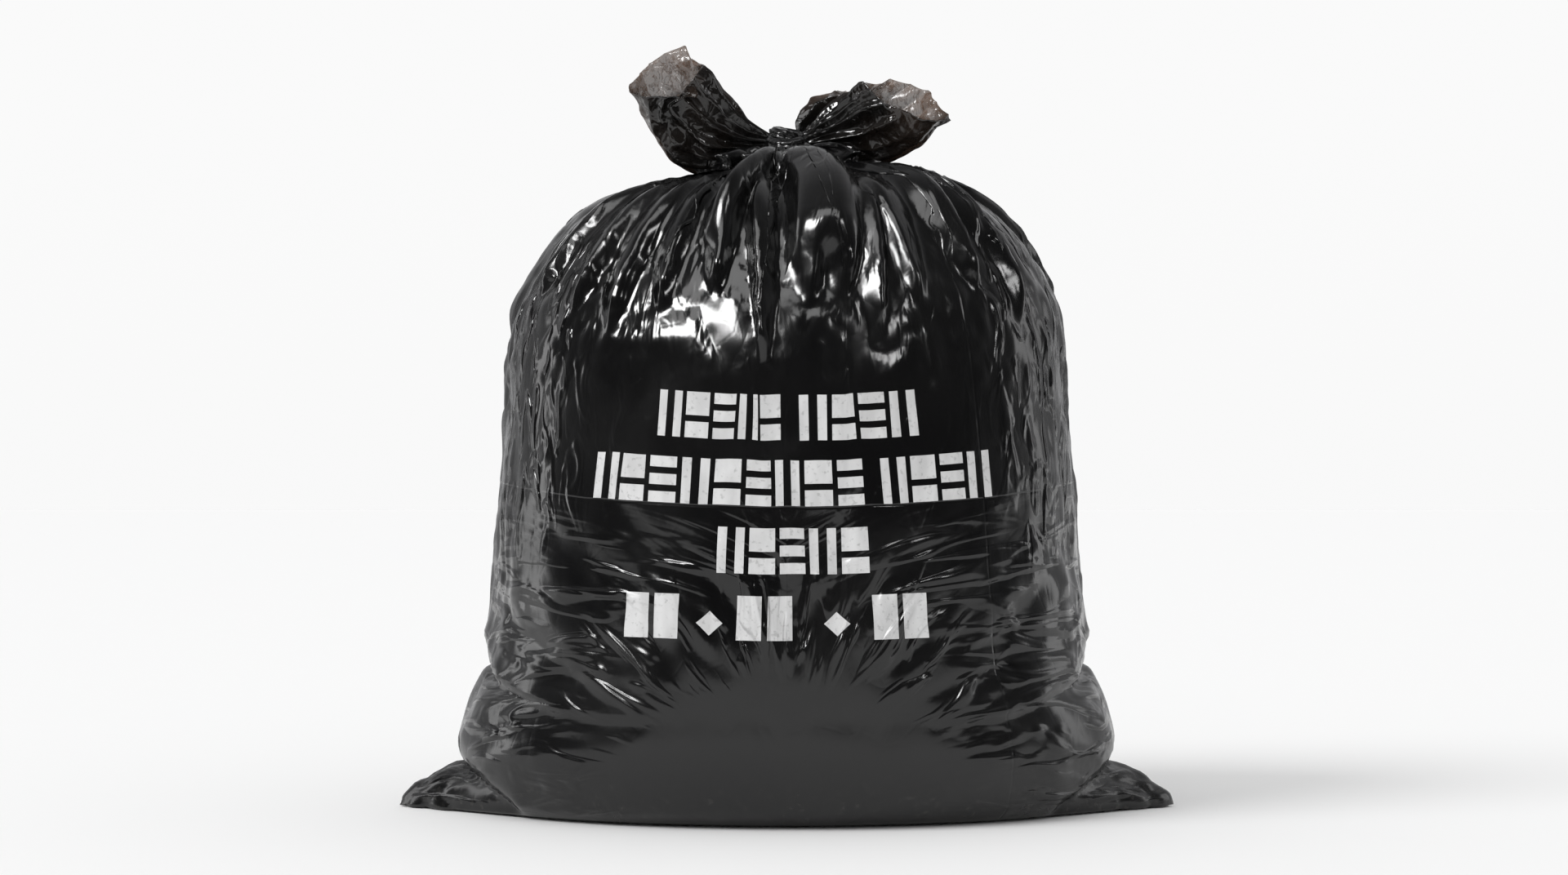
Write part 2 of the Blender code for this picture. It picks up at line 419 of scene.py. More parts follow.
# %% The lower film, set by the weld, the floor and the filling's weight
def lower_rows(row_heights):
    angle = np.broadcast_to(COLUMN_ANGLE, (len(row_heights), COLUMNS))
    height = np.broadcast_to(row_heights[:, None], angle.shape)
    half_width, half_depth = section(height)
    pull, line, _ = side_pinch(angle, height)
    x = (half_width - pull) * np.cos(angle)
    y = (half_depth - 0.7 * pull) * np.sin(angle)
    top = np.maximum(flap_top(angle), 1e-4)
    top_width, top_depth = section(top)
    out_x, out_y = floor_outline(angle)
    on_flap = height < top
    rise = np.clip(height / top, 0.0, 1.0)
    flap_x = out_x + ((top_width - FLAP_INSET) * np.cos(angle) - out_x) * rise**FLAP_BULGE
    flap_y = out_y + ((top_depth - FLAP_INSET) * np.sin(angle) - out_y) * rise
    tuck = FLAP_INSET * (1.0 - soft_step(0.0, 0.022, height - top)) * (top > 0.004)
    x = np.where(on_flap, flap_x, x - tuck * np.cos(angle))
    y = np.where(on_flap, flap_y, y - tuck * np.sin(angle))
    return np.stack([x, y, height + LIFT], axis=2), line


HELD_TOP = 0.20          # above this the film is free from the start
held_climb = float(np.interp(HELD_TOP, heights, climb))
held_count = int(round(held_climb / ROW_STEP)) + 1
held_heights = np.interp(np.linspace(0.0, held_climb, held_count), climb, heights)
held_rows, crease_line = lower_rows(held_heights)
weld_share = 1.0 - 2.0 * np.where(COLUMN_SHARE <= 0.5, 2 * COLUMN_SHARE, 2 - 2 * COLUMN_SHARE)
weld_x = (TIP_REACH - 0.010) * weld_share
outline_x, outline_y = floor_outline(COLUMN_ANGLE)
under_rows = []
for row in range(UNDER_ROWS):
    share = row / UNDER_ROWS
    x = weld_x + (outline_x - weld_x) * share
    under_rows.append(np.stack([x, outline_y * share, np.full(COLUMNS, LIFT)], axis=1))
print("rows under the bag", UNDER_ROWS, "rows held by the base", held_count)

# %% [markdown]
# Above the base the film starts as an open tube that stands straight up round the filling, as
# it does when somebody has filled the bag and not yet tied it. A faint wave round the tube tells
# the film where to start folding. The front and back need a little less film than the sides,
# because the oval is shallower than it is wide, and part of that is taken up here.

# %% The open tube above the base
SPARE_LENGTH = 1.014
SPARE_SHARE = 0.55       # how much of the front's spare length is cut away
FOLDS = 15
FOLD_WAVE = 0.022

free_climb = (float(climb[-1]) - held_climb) * SPARE_LENGTH
free_count = int(round(free_climb / ROW_STEP))
fold_phase = 2 * math.pi * FOLDS * COLUMN_SHARE + 0.9 * np.sin(2 * math.pi * 3 * COLUMN_SHARE + 0.4)
scan = np.linspace(HELD_TOP, NECK_HEIGHT, 400)
scan_wide, scan_deep = section(scan)
column_climb = np.array([
    np.hypot(
        np.diff(scan), np.hypot(np.diff(scan_wide) * math.cos(a), np.diff(scan_deep) * math.sin(a))
    ).sum()
    for a in COLUMN_ANGLE
])
need = column_climb / (float(climb[-1]) - held_climb) - 1.0
stretch = 1.0 + 1.10 * np.maximum(need, 0.0) + SPARE_SHARE * np.minimum(need, 0.0)
tube_rows = []
for row in range(1, free_count + 1):
    risen = row / free_count * free_climb
    half_width, half_depth = section(np.array([min(HELD_TOP + risen, 0.30)]))
    loose = 1.0 + 0.019 * float(soft_step(HELD_TOP, 0.30, HELD_TOP + risen))
    high = max(0.0, (risen - 0.25) / (free_climb - 0.25))
    fine_wave = 0.004 * high * np.cos(2 * math.pi * 7 * COLUMN_SHARE + 1)
    wave = 1.0 + FOLD_WAVE * high * np.cos(fold_phase) + fine_wave
    oval_x = float(half_width[0]) * loose * np.cos(COLUMN_ANGLE)
    oval_y = float(half_depth[0]) * loose * np.sin(COLUMN_ANGLE)
    settle = float(soft_step(0.0, 0.05, risen))
    x = (held_rows[-1, :, 0] + (oval_x - held_rows[-1, :, 0]) * settle) * wave
    y = (held_rows[-1, :, 1] + (oval_y - held_rows[-1, :, 1]) * settle) * wave
    tube_rows.append(np.stack([x, y, HELD_TOP + risen * stretch], axis=1))
film_rows = np.array(under_rows + list(held_rows) + tube_rows)
ROWS = len(film_rows)
print("film grid", COLUMNS, "by", ROWS)

# %% [markdown]
# The grid becomes one mesh. Its first row is the weld, where the front and back of the tube are
# one, so the two halves of that row share their points.

# %% Film mesh, closed along the weld
shared = np.arange(ROWS * COLUMNS)
for column in range(1, COLUMNS // 2):
    shared[COLUMNS - column] = column
quads = []
for row in range(ROWS - 1):
    for column in range(COLUMNS):
        after = (column + 1) % COLUMNS
        corners = [(row, column), (row, after), (row + 1, after), (row + 1, column)]
        loop = list(dict.fromkeys(int(shared[r * COLUMNS + c]) for r, c in corners))
        if len(loop) >= 3:
            quads.append(loop)
kept = np.unique([p for quad in quads for p in quad])
renumber = np.full(ROWS * COLUMNS, -1)
renumber[kept] = np.arange(len(kept))
quads = [[int(renumber[p]) for p in quad] for quad in quads]
film_points = film_rows.reshape(-1, 3)[kept]
point_row = kept // COLUMNS
point_column = kept % COLUMNS


def mesh_object(name, points, faces):
    mesh = bpy.data.meshes.new(name)
    mesh.from_pydata([tuple(map(float, p)) for p in points], [], faces)
    mesh.update()
    piece = bpy.data.objects.new(name, mesh)
    COLLECTION.objects.link(piece)
    return piece


def mesh_now(piece):
    """A plain mesh of the piece as its modifiers leave it."""
    return bpy.data.meshes.new_from_object(piece.evaluated_get(bpy.context.evaluated_depsgraph_get()))


film = mesh_object("film", film_points, quads)
print("film points", len(film_points), "faces", len(quads))

# %% [markdown]
# ## Tying the bag
# The bag is closed the way a hand does it: the mouth of the tube is drawn together while the
# filling keeps the film out. The filling is a plain oval body a few millimetres inside the film.
# The base is pinned, the top ring travels in to the neck, and the cloth solver finds where the
# spare film goes. Its folds stay along the two sides. On the front, the back and the top most of
# their depth gives way, further on, to the plain oval with pleats laid on it by formula.

# %% The filling
FILLING_GAP = 0.0075
FILLING_SIDES = 112


def ring_faces(rings, sides):
    """Quads between rings of points that lie one after another."""
    faces = []
    for ring in range(rings - 1):
        for side in range(sides):
            after = (side + 1) % sides
            faces.append((ring * sides + side, ring * sides + after,
                          (ring + 1) * sides + after, (ring + 1) * sides + side))
    return faces


filling_angle = np.linspace(0.0, 2 * math.pi, FILLING_SIDES, endpoint=False)
filling_rings = []
for height in np.linspace(0.0, 0.632, 110):
    half_width, half_depth = section(np.array([height]))
    pull, _, _ = side_pinch(filling_angle, np.full(FILLING_SIDES, height))
    inward = FILLING_GAP + 0.012 * max(0.0, 1.0 - height / 0.12) + 1.3 * np.maximum(pull, 0.0)
    x = (half_width[0] - inward) * np.cos(filling_angle)
    y = (half_depth[0] - inward) * np.sin(filling_angle)
    filling_rings.append(np.stack([x, y, np.full(FILLING_SIDES, height)], axis=1))
for height, share in ((0.640, 0.80), (0.646, 0.50), (0.650, 0.20)):
    ring = filling_rings[109].copy() * share
    ring[:, 2] = height
    filling_rings.append(ring)
filling_faces = ring_faces(len(filling_rings), FILLING_SIDES)
first_of_top = (len(filling_rings) - 1) * FILLING_SIDES
filling_faces.append(tuple(reversed(range(FILLING_SIDES))))
filling_faces.append(tuple(range(first_of_top, first_of_top + FILLING_SIDES)))
filling = mesh_object("filling", np.concatenate(filling_rings), filling_faces)
filling.modifiers.new("solid", "COLLISION")
filling.collision.thickness_outer = 0.002
filling.collision.thickness_inner = 0.06
filling.collision.cloth_friction = 4.0
print("filling rings", len(filling_rings))

# %% [markdown]
# The mouth is moved by a shape key from the open tube to a small star of folds at the neck. The
# base and everything below the side crease stay pinned where the filling presses them.

# %% Pins, and the travel of the mouth to the neck
NECK_RING = 0.023
NECK_STAR = 0.012
SIM_FRAMES = 42
TIE_FRAME = 28

film.shape_key_add(name="Basis")
tied = film.shape_key_add(name="tied")
tied_points = film_points.copy()
on_mouth = point_row == ROWS - 1
mouth_column = point_column[on_mouth]
reach = NECK_RING + NECK_STAR * np.cos(fold_phase[mouth_column])
tied_points[on_mouth, 0] = reach * np.cos(COLUMN_ANGLE[mouth_column])
tied_points[on_mouth, 1] = reach * np.sin(COLUMN_ANGLE[mouth_column])
tied_points[on_mouth, 2] = NECK_HEIGHT + 0.002
tied.data.foreach_set("co", tied_points.astype(np.float32).ravel())
for value, when in ((0.0, 1), (1.0, TIE_FRAME)):
    tied.value = value
    tied.keyframe_insert("value", frame=when)
for curve in film.data.shape_keys.animation_data.action.fcurves:
    for key in curve.keyframe_points:
        key.interpolation = "LINEAR"
held_row = point_row - UNDER_ROWS
on_base = point_row < UNDER_ROWS
below_crease = np.zeros(len(film_points), bool)
in_held = (held_row >= 0) & (held_row < held_count)
below_crease[in_held] = (
    held_heights[held_row[in_held]] < crease_line[held_row[in_held], point_column[in_held]] + 0.004
)
pinned = on_mouth | on_base | below_crease
pins = film.vertex_groups.new(name="pins")
pins.add([int(p) for p in np.where(pinned)[0]], 1.0, "REPLACE")
print("pinned points", int(pinned.sum()), "of", len(film_points))

# %% [markdown]
# The film is light and limp, with a little pressure from inside. It may pass through itself,
# which saves time, because most of the folds are laid smooth again later.

# %% Film as cloth
CLOTH_NUMBERS = {
    "quality": 5, "mass": 0.08, "air_damping": 1.5,
    "tension_stiffness": 30.0, "compression_stiffness": 20.0, "shear_stiffness": 12.0,
    "bending_stiffness": 0.9, "tension_damping": 8.0, "compression_damping": 8.0,
    "shear_damping": 8.0, "bending_damping": 0.6, "uniform_pressure_force": 0.7,
}
cloth = film.modifiers.new("film_cloth", "CLOTH")
cloth.settings.vertex_group_mass = "pins"
cloth.settings.use_pressure = True
for key, value in CLOTH_NUMBERS.items():
    setattr(cloth.settings, key, value)
touch = cloth.collision_settings
touch.distance_min = 0.003
touch.collision_quality = 2
touch.use_self_collision = False
cloth.point_cache.frame_end = SIM_FRAMES
bpy.context.scene.frame_start = 1
bpy.context.scene.frame_end = SIM_FRAMES
print("cloth, with pressure", cloth.settings.uniform_pressure_force)

# %% [markdown]
# The frames are played one after another, and the last one is copied out as a plain mesh. Any
# point that the solver left inside the filling is pressed back out.

# %% The run, and the film it leaves
for when in range(1, SIM_FRAMES + 1):
    bpy.context.scene.frame_set(when)
tied_film = mesh_now(film)
film_now = np.array([v.co for v in tied_film.vertices])
bpy.data.objects.remove(film)
bpy.data.objects.remove(filling)
bpy.context.scene.frame_set(1)
reach_wide, reach_deep = section(np.clip(film_now[:, 2], 0.0, NECK_HEIGHT))
inside = np.hypot(film_now[:, 0] / (reach_wide - FILLING_GAP), film_now[:, 1] / (reach_deep - FILLING_GAP))
sunk = (inside < 1.0) & (film_now[:, 2] > HELD_TOP) & (film_now[:, 2] < 0.60)
film_now[sunk, :2] /= inside[sunk, None]
tied_film.vertices.foreach_set("co", film_now.astype(np.float32).ravel())
print("points pressed back out of the filling", int(sunk.sum()))
print("tied film from", np.round(film_now.min(0), 3), "to", np.round(film_now.max(0), 3))

# %% [markdown]
# ## The fine skin of the sack
# The solver's film is 9 mm to a face, which is right for folds but coarse for wrinkles. Each face
# first gets its place on the flat film, in metres, as a UV map: across from the middle of the
# front or back, and up from the floor. The print will be laid out on it, so that it bends with
# the film. Then one subdivision quarters the faces.

# %% Flat-film coordinates, then one subdivision
FILM_ROUND = 1.728       # round the flat tube, in metres
BACK_OFFSET = 3.0        # the back's coordinates are moved aside, so that no print falls there
BASE_OFFSET = -3.0

row_climb = np.concatenate([
    np.full(UNDER_ROWS, BASE_OFFSET),
    np.linspace(0.0, held_climb, held_count),
    held_climb + np.arange(1, free_count + 1) / free_count * free_climb,
])
flat_map = tied_film.uv_layers.new(name="flat_film")
for face in tied_film.polygons:
    rows = [int(point_row[v]) for v in face.vertices]
    columns = [int(point_column[v]) for v in face.vertices]
    wraps = max(columns) - min(columns) > COLUMNS // 2
    if min(rows) < UNDER_ROWS:
        for loop in face.loop_indices:
            flat_map.data[loop].uv = (BACK_OFFSET, BASE_OFFSET)
        continue
    columns = [c + COLUMNS if wraps and c == 0 else c for c in columns]
    on_front = min(columns) >= COLUMNS // 2
    middle = 0.75 if on_front else 0.25
    for loop, row, column in zip(face.loop_indices, rows, columns):
        across = (column / COLUMNS - middle) * FILM_ROUND + (0.0 if on_front else BACK_OFFSET)
        flat_map.data[loop].uv = (across, row_climb[row])


def made_fine(mesh, levels):
    """The mesh with that many subdivisions made real."""
    holder = bpy.data.objects.new("finer", mesh)
    COLLECTION.objects.link(holder)
    finer = holder.modifiers.new("finer", "SUBSURF")
    finer.levels = levels
    finer.render_levels = levels
    finer.boundary_smooth = "PRESERVE_CORNERS"
    fine = mesh_now(holder)
    bpy.data.objects.remove(holder)
    return fine


sack_mesh = made_fine(tied_film, 1)
sack = bpy.data.objects.new("sack_body", sack_mesh)
COLLECTION.objects.link(sack)
skin = np.array([v.co for v in sack_mesh.vertices])
print("fine skin faces", len(sack_mesh.polygons))

# %% [markdown]
# The solver gathers every fold alike, fine and even. Real film does that only at the knot. Lower
# down the folds join into broad pleats, each with one sharp edge and a pointed end. A finer
# simulation might find them, but it would be slow and hard to steer. So they are laid on the
# shape by formula, from each point's place on the plain oval and the way out from there.

# %% Places on the plain oval
SLOPE_STEP = 0.002


def oval_angle(points):
    half_width, half_depth = section(np.clip(points[:, 2], 0.0, NECK_HEIGHT))
    return np.arctan2(points[:, 1] / half_depth, points[:, 0] / half_width)


def on_oval(points):
    """Height, angle, radius, place and way out on the oval, and the film's length to the neck."""
    z = np.clip(points[:, 2], 0.0, NECK_HEIGHT)
    angle = oval_angle(points)
    wide_here, deep_here = section(z)
    wide_up, deep_up = section(np.clip(z + SLOPE_STEP, 0.0, NECK_HEIGHT))
    slope = (wide_up + deep_up - wide_here - deep_here) / (2 * SLOPE_STEP)
    tilt = np.hypot(1.0, slope)
    radius = np.hypot(wide_here * np.sin(angle), deep_here * np.cos(angle))
    place = np.stack([wide_here * np.cos(angle), deep_here * np.sin(angle), z], axis=1)
    out = np.stack([np.cos(angle) / tilt, np.sin(angle) / tilt, -slope / tilt], axis=1)
    return z, angle, radius, place, out, climb[-1] - np.interp(z, heights, climb)


skin_plain = skin.copy()
print("longest film to the neck", round(float(on_oval(skin)[5].max()), 3), "m")

# %% [markdown]
# The front's pleats end at chosen places, the back's at places drawn by chance. Across itself a
# pleat has a long rounded face and then a steep drop. Along itself it starts narrow at the knot,
# swells, and runs out in a point.

# %% Pleats
FRONT_TIPS = (      # across, height, half width, depth, sharp edge: 1 on the right, -1 on the left
    (-0.262, 0.520, 0.024, 0.011, 1), (-0.214, 0.500, 0.027, 0.014, 1), (-0.170, 0.478, 0.027, 0.016, 1),
    (-0.124, 0.498, 0.023, 0.014, 1), (-0.078, 0.515, 0.025, 0.016, 1), (-0.032, 0.446, 0.018, 0.016, -1),
    (0.016, 0.505, 0.022, 0.012, 1), (0.062, 0.516, 0.026, 0.016, 1), (0.098, 0.468, 0.020, 0.015, 1),
    (0.142, 0.498, 0.023, 0.013, -1), (0.188, 0.524, 0.026, 0.016, 1), (0.232, 0.496, 0.023, 0.013, 1),
)
BACK_PLEATS = 13
FLATTEN = 0.93           # how far the solver's own folds give way to the broad pleats
SHOULDER_DROP = 0.006    # how far the plain top is lowered to make room for the pleats
RIGHT_RISE = 0.009       # how far the film stands higher on the right of the knot


def tip_angle(across, height):
    half_width, _ = section(np.array([height]))
    return -math.acos(max(-1.0, min(1.0, across / float(half_width[0]))))


pleats = [(tip_angle(x, z), z, width, depth, edge) for x, z, width, depth, edge in FRONT_TIPS]
chance = np.random.default_rng(77)
for number in range(BACK_PLEATS):
    pleats.append((
        (number + 0.5 + 0.25 * chance.uniform(-1, 1)) / BACK_PLEATS * math.pi,
        chance.uniform(0.45, 0.53), chance.uniform(0.021, 0.028), chance.uniform(0.011, 0.016),
        1 if chance.uniform() > 0.35 else -1,
    ))


def pleat_profile(u, edge):
    """Across one pleat: a long rounded face, then a steep drop at its sharp edge."""
    v = u * edge
    climbed = np.clip((v + 1.0) / 1.5, 0.0, 1.0)
    rising = 0.45 * np.sin(climbed * math.pi / 2) + 0.55 * climbed
    falling = 1.0 - np.clip((v - 0.5) / 0.5, 0.0, 1.0)
    return np.where(v < 0.5, rising, falling) * (np.abs(v) < 1.0)


def pleat_height(angle, radius, from_neck):
    raised = np.zeros(len(angle))
    for number, (tip, tip_z, width, depth, edge) in enumerate(pleats):
        share = from_neck / (climb[-1] - float(np.interp(tip_z, heights, climb)))
        narrowing = np.clip(1.0 - share**4, 0.0, 1.0) ** 0.85
        here = width * (0.22 + 0.78 * soft_step(0.0, 0.55, share)) * narrowing
        middle = tip + 0.035 * np.sin(3.0 * share + number)
        away = (angle - middle + math.pi) % (2 * math.pi) - math.pi
        u = away * radius / np.maximum(here, 1e-4)
        rise = depth * (0.35 + 0.65 * soft_step(0.05, 0.45, share)) * soft_step(1.0, 0.84, share)
        raised = np.maximum(raised, rise * pleat_profile(u, edge) * (share < 1.0))
    return raised


def lay_pleats(points):
    """Smooths the top of the sack, and the front and back near the floor, and raises the pleats."""
    z, angle, radius, place, out, from_neck = on_oval(points)
    low_hold = soft_step(0.02, 0.07, z) * soft_step(0.15, 0.60, from_side(angle))
    hold = np.maximum(low_hold, soft_step(0.40, 0.52, z)) * soft_step(0.674, 0.664, points[:, 2])
    leftward = soft_step(0.05, -0.05, points[:, 0])
    settle = -SHOULDER_DROP * (soft_step(0.50, 0.58, z) + leftward * soft_step(0.46, 0.54, z))
    smooth_top = points + (place + out * settle[:, None] - points) * (FLATTEN * hold)[:, None]
    raised = pleat_height(angle, radius, from_neck) * soft_step(0.676, 0.668, points[:, 2])
    topped = smooth_top + out * raised[:, None]
    beside_knot = np.exp(-(((topped[:, 0] - 0.135) / 0.050) ** 2))
    topped[:, 2] += RIGHT_RISE * beside_knot * soft_step(0.58, 0.64, topped[:, 2])
    return topped


skin = lay_pleats(skin)
print("pleats", len(pleats))

# %% [markdown]
# The strap and the tongue are two broad rolls of film that come down the front from the knot,
# where a handful of film was pulled through. The solver gathers every fold alike, so these two
# are laid over its folds: near each roll's line the skin moves to a smooth swelling.

# %% Strap and tongue under the knot
STRAP = ((0.678, -97.0), (0.640, -104.0), (0.585, -108.0))       # height, degrees round the oval
TONGUE = ((0.678, -82.0), (0.650, -76.0), (0.600, -79.0), (0.545, -80.0))


def lay_roll(points, line, half_width, height, lean):
    """Moves the points near a line of (height, degrees round the oval) onto a rounded roll."""
    levels = np.array([p[0] for p in line][::-1])
    degrees = np.array([p[1] for p in line][::-1])
    z, angle, radius, place, out, from_neck = on_oval(points)
    away = (angle - np.radians(np.interp(z, levels, degrees))) * radius
    half_width = half_width * (0.30 + 0.70 * soft_step(0.0, 0.07, from_neck))
    away = away / (half_width * np.where(away > 0, 1.0 + lean, 1.0 - lean))
    taper = soft_step(levels[0] - 0.02, levels[0] + 0.05, points[:, 2])
    roll = height * np.cos(np.clip(np.abs(away), 0.0, 1.0) * math.pi / 2) ** 0.8 * taper
    roll = roll * (0.25 + 0.75 * soft_step(0.0, 0.09, from_neck))
    hold = soft_step(1.15, 0.75, np.abs(away)) * taper
    return points + (place + out * (0.004 + roll)[:, None] - points) * hold[:, None]


skin = lay_roll(skin, TONGUE, 0.036, 0.020, -0.25)
skin = lay_roll(skin, STRAP, 0.013, 0.018, 0.1)
moved_by = float(np.abs(skin - skin_plain).max()) * 1000
print("pleats and rolls moved the skin by up to", round(moved_by), "mm")

# %% [markdown]
# Filled film that carries weight wrinkles in long lens shapes. On this bag they spray out from
# low in the middle of the front, where the filling presses hardest and the film is smooth. The
# way to make them is a noise read in round coordinates about that place: fine across the spray,
# long along it. A calm oval in the middle stays smooth, and the spray fades out about 0.3 m up.

# %% The spray of wrinkles round the smooth place
SPRAY_HEIGHT = 0.060
SPRAY_DEPTH = 0.0038
SPRAY_SIZES = ((11, 0.130, 0.080, 1.0), (12, 0.070, 0.050, 0.5))    # seed, across, along, share
CALM_WIDTH = 0.6         # the smooth place is wider than it is high, by one over this
CALM_FROM = 0.085
CALM_TO = 0.145


def normals_of(mesh, points):
    mesh.vertices.foreach_set("co", points.astype(np.float32).ravel())
    mesh.update()
    out = np.empty(len(points) * 3, np.float32)
    mesh.vertex_normals.foreach_get("vector", out)
    return out.reshape(-1, 3)


outward = normals_of(sack_mesh, skin)
up = skin[:, 2]
angle = oval_angle(skin)
side = from_side(angle)
ahead = np.where(skin[:, 1] < 0, 1.0, -1.0)
across = ahead * 0.27 * np.arctan2(skin[:, 0] / 0.30, -ahead * skin[:, 1] / 0.23)
above = up - SPRAY_HEIGHT
distance = np.hypot(across, above)
bearing = np.arctan2(above, np.abs(across))
around = bearing + 40.0 * (across > 0) + 90.0 * (ahead < 0)
spray = np.zeros(len(skin))
for seed, fine, long, share in SPRAY_SIZES:
    swirl = 0.35 * lattice_noise(skin / 0.05, seed + 20)
    lenses = lattice_noise(np.stack([around / fine + swirl, distance / long, ahead * 7.3], axis=1), seed)
    spray += share * (lenses - 0.6 * np.abs(lenses))
in_spray = soft_step(CALM_FROM, CALM_TO, np.hypot(CALM_WIDTH * across, above)) * soft_step(0.36, 0.24, up)
in_spray *= np.maximum(soft_step(-0.9, -0.35, bearing), soft_step(0.18, 0.28, np.abs(across)))
in_spray *= soft_step(0.004, 0.03, up) * soft_step(0.0, 0.10, side)
depth = SPRAY_DEPTH * spray * in_spray
print("spray", round(float(depth.min()) * 1000, 2), "to", round(float(depth.max()) * 1000, 2), "mm")

# %% [markdown]
# Higher up the wrinkles stand upright, and they are deepest along the two sides, where the
# factory's fold leaves a ridge. Handling has also pressed flat facets into the film below the
# pleats and at the sides: the absolute value of a noise has the sharp valleys of such creases.

# %% Upright wrinkles, the fold line and facets
UPRIGHT_DEPTH = 0.0022
UPRIGHT_SIZES = ((31, 0.016, 0.070, 1.0), (32, 0.008, 0.030, 0.4))
SIDE_RIDGE = 0.0030
FACET_DEPTH = 0.0030


def creased(size, seed):
    return np.abs(lattice_noise(skin / np.array(size), seed)) - 0.25


upright = np.zeros(len(skin))
for seed, fine, tall, share in UPRIGHT_SIZES:
    sway = 0.5 * lattice_noise(skin / 0.06, seed + 20)
    reading = np.stack([across / fine + sway + 300.0 * (ahead < 0), up / tall, side * 0.0], axis=1)
    folds = lattice_noise(reading, seed)
    upright += share * (folds - 0.5 * np.abs(folds))
at_side = soft_step(0.75, 0.25, side)
in_upright = (0.12 + 0.88 * at_side) * soft_step(0.16, 0.28, up) * soft_step(0.66, 0.56, up)
fold_edge = np.exp(-((side / 0.018) ** 2)) * soft_step(0.19, 0.24, up) * soft_step(0.60, 0.50, up)
facets = creased((0.024, 0.024, 0.040), 61) + 0.6 * creased((0.013, 0.013, 0.020), 62)
beside = 0.6 * at_side * soft_step(0.16, 0.22, up) * soft_step(0.66, 0.60, up)
in_facets = np.maximum(soft_step(0.42, 0.47, up) * soft_step(0.62, 0.54, up), beside)
depth += UPRIGHT_DEPTH * upright * in_upright + SIDE_RIDGE * fold_edge + FACET_DEPTH * facets * in_facets
depth += 0.0005 * lattice_noise(skin / 0.030, 51) * soft_step(0.003, 0.02, up)
print("points with upright wrinkles", int((in_upright > 0.5).sum()))

# %% [markdown]
# At each side the upper film hangs over the lower film in one deep crease, with a lip above its
# line and a tuck below. The flaps on the floor have short creases of their own, and a groove
# where they leave the body.

# %% The side creases and the flaps
CREASE_DEPTH = 0.012
CREASE_LIP = 0.006
CREASE_DROP = 0.058
CREASE_ANGLE = 1.15
FLAP_FOLD = 0.0050
FLAP_CREASE = 0.008

from_line = up - (PINCH_HEIGHT - CREASE_DROP * np.clip(side, 0.0, 1.0) ** 0.9)
from_line = from_line + 0.003 * lattice_noise(skin / 0.045, 72)
overlap = CREASE_LIP * np.exp(-np.maximum(from_line, 0.0) / 0.020) * soft_step(-0.004, 0.004, from_line)
tucked = CREASE_DEPTH * np.exp(np.minimum(from_line, 0.0) / 0.016) * soft_step(0.004, -0.004, from_line)
depth += (overlap - tucked) * np.clip(1.0 - side / CREASE_ANGLE, 0.0, 1.0) ** 0.6
on_flap = soft_step(0.325, 0.345, np.abs(skin[:, 0])) * soft_step(0.075, 0.050, up)
depth += FLAP_FOLD * creased((0.032, 0.014, 0.012), 71) * on_flap
from_flap = np.abs(up - flap_top(angle) - 0.002)
depth -= FLAP_CREASE * np.exp(-from_flap / 0.005) * soft_step(FLAP_ANGLE, 0.42, side)
skin = skin + outward * depth[:, None]
skin[:, 2] = np.maximum(skin[:, 2], LIFT * 0.5)
skin[:, 0] = np.clip(skin[:, 0], LOW[0] + 0.0005, HIGH[0] - 0.0005)
normals_of(sack_mesh, skin)
sack_mesh.shade_smooth()
print("wrinkle depth", round(float(depth.min()) * 1000, 2), "to", round(float(depth.max()) * 1000, 2), "mm")

# %% [markdown]
# ## The two ears
# Above the knot the mouth of the sack is free again. It was drawn through the knot as two
# halves, so each ear is an open cup of thin film: narrow and pleated where it leaves the knot,
# wide at the belly, and ending in a limp rim with corners. Each cup is lofted from a few rings.
# A ring is given by its upper and lower edge, its depth and how far it leans to the viewer, and
# the rim by its corners, because a torn-open rim has corners and no roundness.

# %% Rings of the ears
LEFT_RINGS = (      # upper edge x, z, lower edge x, z, middle y, half depth
    (-0.012, 0.6975, -0.012, 0.6825, 0.000, 0.009),
    (-0.040, 0.7110, -0.048, 0.6700, -0.002, 0.020),
    (-0.061, 0.7380, -0.098, 0.6630, -0.008, 0.030),
    (-0.085, 0.7640, -0.138, 0.6960, -0.022, 0.036),
)
LEFT_RIM = (
    (-0.097, -0.010, 0.775), (-0.087, -0.042, 0.751), (-0.092, -0.060, 0.731), (-0.124, -0.064, 0.733),
    (-0.150, -0.058, 0.733), (-0.1655, -0.034, 0.741), (-0.152, -0.008, 0.766), (-0.127, 0.005, 0.786),
    (-0.105, 0.004, 0.7925),
)
RIGHT_RINGS = (
    (0.014, 0.6975, 0.014, 0.6825, 0.000, 0.009),
    (0.036, 0.7180, 0.046, 0.6780, -0.002, 0.020),
    (0.062, 0.7390, 0.090, 0.6740, -0.008, 0.030),
    (0.080, 0.7480, 0.128, 0.6860, -0.022, 0.036),
)
RIGHT_RIM = (
    (0.090, -0.008, 0.751), (0.082, -0.040, 0.734), (0.108, -0.060, 0.723), (0.141, -0.062, 0.707),
    (0.1695, -0.045, 0.709), (0.160, -0.022, 0.723), (0.151, -0.004, 0.743), (0.128, 0.006, 0.753),
    (0.105, 0.006, 0.7595),
)
BACK_RINGS = (
    (0.010, 0.6980, 0.016, 0.6860, 0.006, 0.006),
    (0.012, 0.7160, 0.032, 0.6960, 0.012, 0.012),
    (0.023, 0.7350, 0.056, 0.7060, 0.020, 0.016),
    (0.036, 0.7440, 0.074, 0.7140, 0.026, 0.018),
)
BACK_RIM = (
    (0.048, 0.020, 0.749), (0.060, 0.004, 0.741), (0.076, 0.008, 0.724), (0.084, 0.026, 0.722),
    (0.082, 0.042, 0.736), (0.066, 0.040, 0.747),
)
